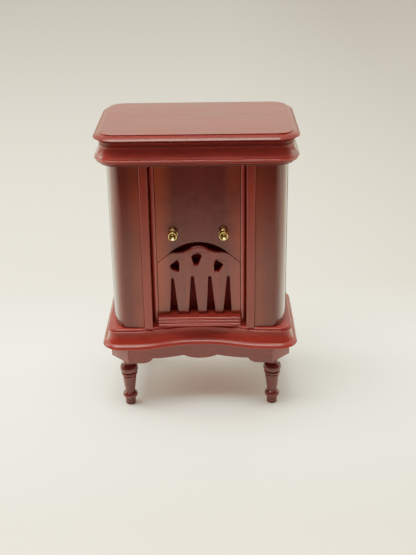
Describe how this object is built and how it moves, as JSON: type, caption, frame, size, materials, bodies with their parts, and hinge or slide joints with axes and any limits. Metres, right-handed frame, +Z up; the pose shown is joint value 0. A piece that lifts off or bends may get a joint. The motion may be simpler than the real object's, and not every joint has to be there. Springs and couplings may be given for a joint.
{
  "type": "dollhouse console radio",
  "caption": "Miniature console radio: moulded top, quarter columns, arched front with a fretwork grille, serpentine plinth, turned legs, turning brass knobs.",
  "frame": {"origin": "on the floor under the feet, at the centre of the bounding box in plan", "axes": "+Z up, the front with the knobs and the fret faces -Y, +X to the right seen from the front"},
  "size_m": [0.0582, 0.0414, 0.0862],
  "materials": {
    "lacquered_mahogany": "gloss red-brown lacquer over mahogany",
    "dark_board": "dark red-brown stain, gloss",
    "bare_wood": "unfinished",
    "turned_brass": "turned and polished"
  },
  "bodies": {
    "cabinet": {"top_panel": "lacquered_mahogany", "cornice_moulding": "lacquered_mahogany", "frieze_board": "lacquered_mahogany", "back_panel": "lacquered_mahogany", "backing_board": "dark_board", "front_panel": "lacquered_mahogany", "grille_fret": "lacquered_mahogany", "sill_moulding": "lacquered_mahogany", "plinth_board": "lacquered_mahogany", "front_apron": "lacquered_mahogany", "back_apron": "lacquered_mahogany", "side_panel_right": "lacquered_mahogany", "side_panel_left": "lacquered_mahogany", "corner_strip_right": "bare_wood", "corner_strip_left": "bare_wood", "quarter_column_right": "lacquered_mahogany", "quarter_column_left": "lacquered_mahogany", "pilaster_right": "lacquered_mahogany", "pilaster_left": "lacquered_mahogany", "bead_strip_right": "lacquered_mahogany", "bead_strip_left": "lacquered_mahogany", "side_apron_right": "lacquered_mahogany", "side_apron_left": "lacquered_mahogany", "leg_block_front_right": "lacquered_mahogany", "leg_block_front_left": "lacquered_mahogany", "leg_block_back_right": "lacquered_mahogany", "leg_block_back_left": "lacquered_mahogany", "leg_front_left": "lacquered_mahogany", "leg_front_right": "lacquered_mahogany", "leg_back_left": "lacquered_mahogany", "leg_back_right": "lacquered_mahogany"},
    "volume_knob": {"volume_knob": "turned_brass"},
    "tuning_knob": {"tuning_knob": "turned_brass"}
  },
  "joints": [
    {"name": "volume_turn", "type": "hinge", "parent": "cabinet", "child": "volume_knob", "pos_m": [-0.0073, -0.01425, 0.056], "axis": [0, -1, 0], "continuous": true},
    {"name": "tuning_turn", "type": "hinge", "parent": "cabinet", "child": "tuning_knob", "pos_m": [0.0073, -0.01425, 0.056], "axis": [0, -1, 0], "continuous": true}
  ]
}
